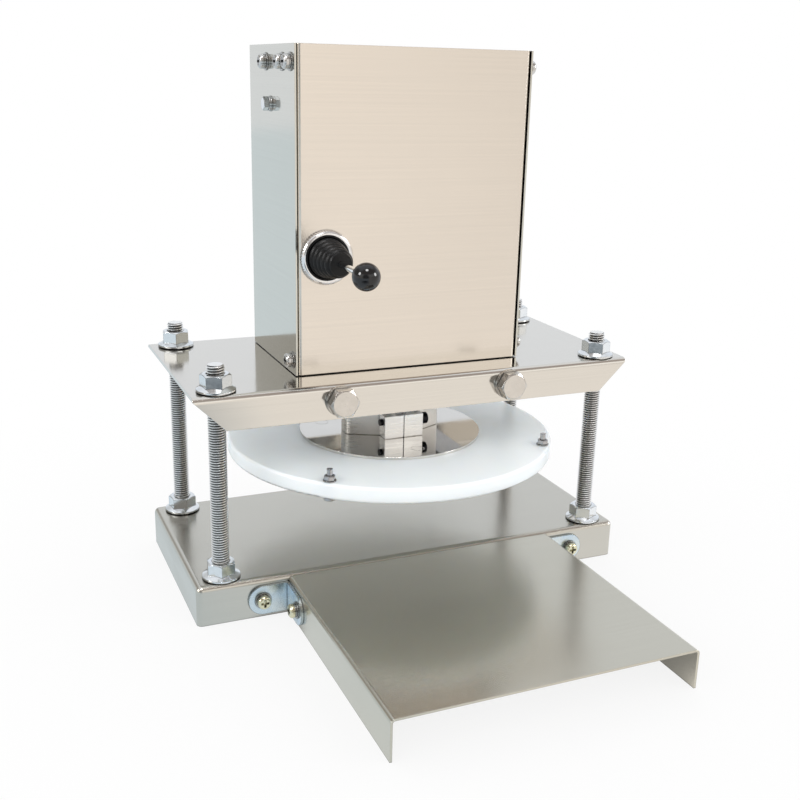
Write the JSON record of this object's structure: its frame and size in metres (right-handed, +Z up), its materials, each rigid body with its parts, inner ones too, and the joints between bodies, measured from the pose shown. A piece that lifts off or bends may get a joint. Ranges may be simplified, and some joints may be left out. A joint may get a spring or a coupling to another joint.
{
  "type": "dough press",
  "caption": "Electric dough press with a round white press disc on threaded columns, a sheet-steel casing with a joystick and a front tray.",
  "frame": {"origin": "middle of the footprint at table height", "axes": "+X to the right as seen from the tray, +Y to the rear, +Z up"},
  "size_m": [0.328, 0.367, 0.3754],
  "materials": {
    "stainless_sheet": "satin stainless sheet with fine grain",
    "polished_steel": "polished stainless",
    "chrome": "chrome plated",
    "threaded_steel": "stainless fastener",
    "bright_zinc": "bright zinc plated",
    "blue_zinc": "blue passivated zinc",
    "yellow_zinc": "yellow passivated zinc",
    "plain_steel": "machined steel",
    "black_steel": "black oxide",
    "aluminium": "cast or drawn aluminium",
    "brass": "turned brass",
    "motor_can": "dark coated can",
    "white_pe": "smooth glossy white",
    "black_plastic": "matt black",
    "black_gloss": "glossy black",
    "black_rubber": "matt rubber"
  },
  "bodies": {
    "frame": {"base_pan": "stainless_sheet", "threaded_rods": "threaded_steel", "flange_nuts": "bright_zinc", "lower_nuts": "bright_zinc", "upper_beam": "stainless_sheet", "cross_bars": "plain_steel", "beam_bolts": "bright_zinc", "beam_spring_washers": "bright_zinc", "casing_sides": "stainless_sheet", "casing_rear": "stainless_sheet", "front_cover": "stainless_sheet", "top_lid": "stainless_sheet", "foot_screws": "threaded_steel", "case_screws": "threaded_steel", "case_flat_washers": "threaded_steel", "case_spring_washers": "threaded_steel", "case_nuts": "threaded_steel", "gearbox_housing": "aluminium", "gearbox_cover": "aluminium", "drive_motor": "motor_can", "screw_bearing": "threaded_steel", "actuator_tube": "aluminium", "tube_bush": "black_plastic", "tube_guide_ring": "black_plastic", "hanger_bolt": "bright_zinc", "hanger_washers": "bright_zinc", "hanger_nut": "bright_zinc", "hanger_sleeves": "bright_zinc", "switch_ring": "chrome", "switch_body": "black_plastic", "contact_block": "black_plastic", "lever_boot": "black_rubber", "power_supply": "aluminium", "supply_screws": "threaded_steel", "motor_lead": "black_rubber", "switch_lead": "black_rubber", "cable_gland": "black_plastic", "gland_locknut": "black_plastic", "tray": "stainless_sheet", "tray_brackets": "blue_zinc", "bracket_screws": "yellow_zinc", "bracket_washers": "yellow_zinc", "bracket_nuts": "yellow_zinc"},
    "press_head": {"piston_rod": "polished_steel", "drive_nut": "brass", "rod_clamps": "polished_steel", "clamp_bolts": "black_steel", "hub_wings": "polished_steel", "backing_plate": "polished_steel", "disc_screws": "polished_steel", "press_disc": "white_pe", "rim_screws": "threaded_steel", "rim_washers": "threaded_steel", "rim_nuts": "threaded_steel"},
    "screw": {"lead_screw": "threaded_steel", "screw_gear": "plain_steel"},
    "pinion": {"motor_pinion": "plain_steel"},
    "lever": {"lever_shaft": "polished_steel", "lever_ball": "black_gloss"}
  },
  "joints": [
    {"name": "press_slide", "type": "slide", "parent": "frame", "child": "press_head", "axis": [0, 0, -1], "range_m": [0, 0.0594]},
    {"name": "screw_spin", "type": "hinge", "parent": "frame", "child": "screw", "pos_m": [0, 0.0625, 0.3], "axis": [0, 0, 1], "continuous": true},
    {"name": "pinion_spin", "type": "hinge", "parent": "frame", "child": "pinion", "pos_m": [0, 0.0965, 0.3], "axis": [0, 0, 1], "continuous": true},
    {"name": "lever_tilt", "type": "hinge", "parent": "frame", "child": "lever", "pos_m": [-0.0639, 0.035, 0.2411], "axis": [1, 0, 0], "range_deg": [-15, 15], "stiffness_Nm_per_rad": 0.6, "deforming": ["lever_boot"]}
  ],
  "couplings": [
    {"joint": "screw_spin", "follows": "press_slide", "rad_per_m": 1570.8},
    {"joint": "pinion_spin", "follows": "press_slide", "rad_per_m": -5105.1}
  ]
}
